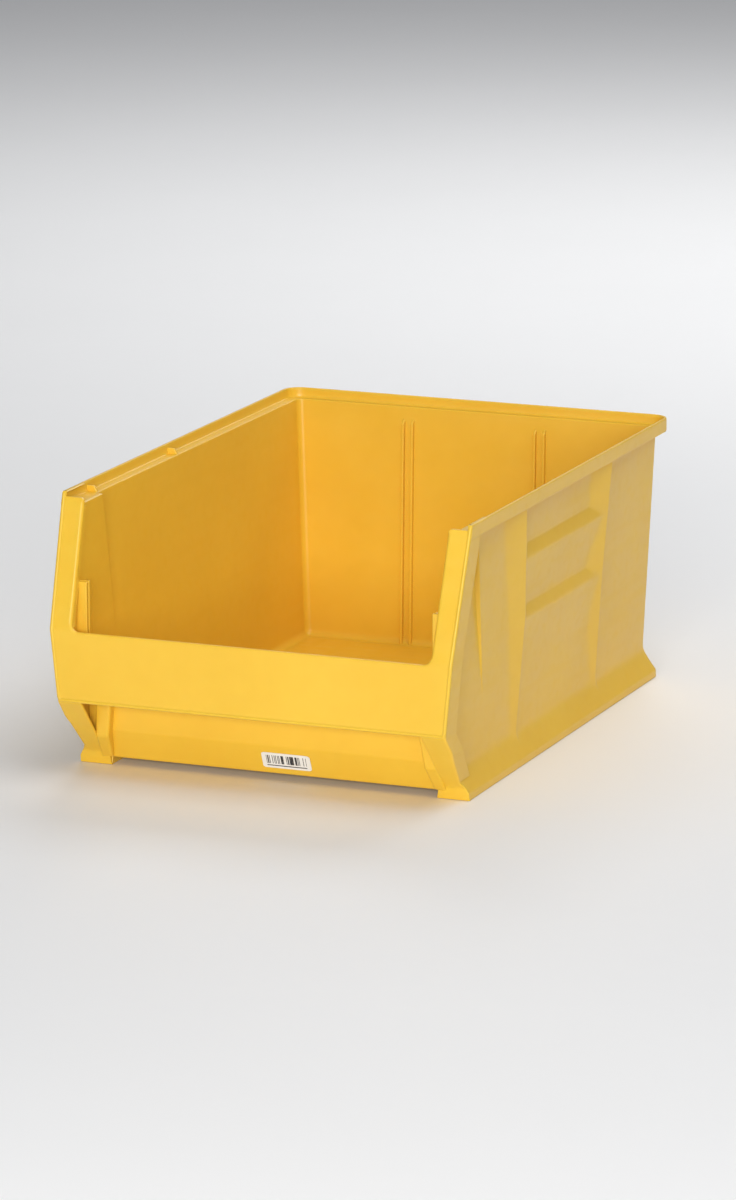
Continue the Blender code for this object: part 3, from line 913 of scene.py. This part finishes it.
def label_paper(middle, long, tall, down):
    """White paper with bars of uneven width, a blank margin and a thin rule under them."""
    n = Nodes("label_paper")
    bars_per_metre = 1450.0
    bar_share = 0.47
    parts = n.add("ShaderNodeSeparateXYZ", Vector=n.place)
    across = n.math("SUBTRACT", parts.outputs["X"], middle.x)
    up = n.math("DIVIDE", n.math("SUBTRACT", parts.outputs["Z"], middle.z), -down.z)
    dice = n.add("ShaderNodeTexWhiteNoise")
    dice.noise_dimensions = "1D"
    n.put(dice, "W", n.math("FLOOR", n.math("MULTIPLY", across, bars_per_metre)))
    bar = n.math("GREATER_THAN", dice.outputs["Value"], bar_share)
    wide = n.math("LESS_THAN", n.math("ABSOLUTE", across), long * 0.41)
    high = n.math("LESS_THAN", n.math("ABSOLUTE", n.math("SUBTRACT", up, tall * 0.06)), tall * 0.27)
    rule = n.math("LESS_THAN", n.math("ABSOLUTE", n.math("ADD", up, tall * 0.33)), tall * 0.03)
    ink = n.math("MULTIPLY", wide, n.math("MAXIMUM", n.math("MULTIPLY", bar, high), rule))
    fibre = n.noise(900.0, 3.0)
    paper = n.mix(fibre, PAPER_DULL, PAPER_BRIGHT)
    ink = n.math("MULTIPLY", ink, n.remap(n.noise(500.0), 0.2, 0.5, 0.8, 1.0))
    n.put(n.shader, "Base Color", n.mix(ink, paper, INK))
    n.put(n.shader, "Roughness", n.remap(fibre, 0.3, 0.7, 0.5, 0.62))
    n.put(n.shader, "Normal", n.bump(fibre, 0.00005, 0.4))
    return n.material


def stage_floor():
    """Plain pale floor, barely uneven in tone and gloss."""
    n = Nodes("studio_floor")
    n.put(n.shader, "Base Color", n.mix(n.noise(3.0, 3.0), FLOOR_DULL, FLOOR_BRIGHT))
    n.put(n.shader, "Roughness", n.remap(n.noise(40.0), 0.3, 0.7, 0.55, 0.65))
    return n.material


# ---------------------------------------------------------------- stage, light and camera


# Each light in metres and watts: name, place, what it points at, size, power and colour.
LIGHTS = (
    ("key", (1.05, -4.0, 0.95), (0.0, 0.0, 0.14), (1.5, 1.1), 110.0, (1.0, 0.99, 0.97)),
    ("top", (1.5, -0.3, 4.4), (0.2, 0.1, 0.0), (3.4, 3.4), 78.0, (1.0, 1.0, 1.0)),
    ("backdrop", (0.0, 3.0, 2.4), (0.0, 2.4, 0.0), (3.4, 1.8), 60.0, (1.0, 1.0, 1.0)),
)
SKY_COLOUR = (0.93, 0.95, 1.0, 1.0)
SKY_STRENGTH = 0.24
FLOOR_REACH = 14.0
FLOOR_DROP = 0.0002
CAMERA_OFFSET = Vector((2.182, -5.434, 1.343))
CAMERA_AIM = Vector((0.0, 0.0, -0.01))
CAMERA_LENS = 183.0


def turned_to(place, aim):
    """Rotation of a light or a camera at a place that looks at a point."""
    return (Vector(aim) - Vector(place)).to_track_quat("-Z", "Y").to_euler()


def area_light(name, place, aim, size, power, colour):
    data = bpy.data.lights.new(name, "AREA")
    data.shape = "RECTANGLE"
    data.size, data.size_y = size
    data.energy = power
    data.color = colour
    item = bpy.data.objects.new(name, data)
    item.location = place
    item.rotation_euler = turned_to(place, aim)
    bpy.context.scene.collection.objects.link(item)


def build_stage():
    mesh = bmesh.new()
    bmesh.ops.create_grid(mesh, x_segments=8, y_segments=8, size=FLOOR_REACH)
    floor = object_from(mesh, "floor")
    floor.location.z = -FLOOR_DROP
    floor.data.materials.append(stage_floor())
    world = bpy.data.worlds.new("studio")
    world.use_nodes = True
    sky = world.node_tree.nodes["Background"]
    sky.inputs["Color"].default_value = SKY_COLOUR
    sky.inputs["Strength"].default_value = SKY_STRENGTH
    bpy.context.scene.world = world
    for light in LIGHTS:
        area_light(*light)


def build_camera():
    data = bpy.data.cameras.new("camera")
    data.lens = CAMERA_LENS
    data.sensor_width = 36.0
    item = bpy.data.objects.new("camera", data)
    centre = (BODY_LOW + BODY_HIGH) / 2.0
    item.location = centre + CAMERA_OFFSET
    item.rotation_euler = turned_to(item.location, centre + CAMERA_AIM)
    bpy.context.scene.collection.objects.link(item)
    bpy.context.scene.camera = item


build_camera()
moulding = build_bin()
moulding.data.materials.clear()
moulding.data.materials.append(polypropylene())
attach(moulding, "root")
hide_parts("bin_body")

label = build_label()
label_middle = (LABEL_LOW + LABEL_HIGH) / 2.0
label_long = LABEL_HIGH.x - LABEL_LOW.x
label.data.materials.append(
    label_paper(label_middle, label_long, LABEL_TALL * MM, shin_down())
)
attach(label, "root")
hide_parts("barcode_label")

build_stage()
bpy.context.scene.view_settings.view_transform = "Standard"
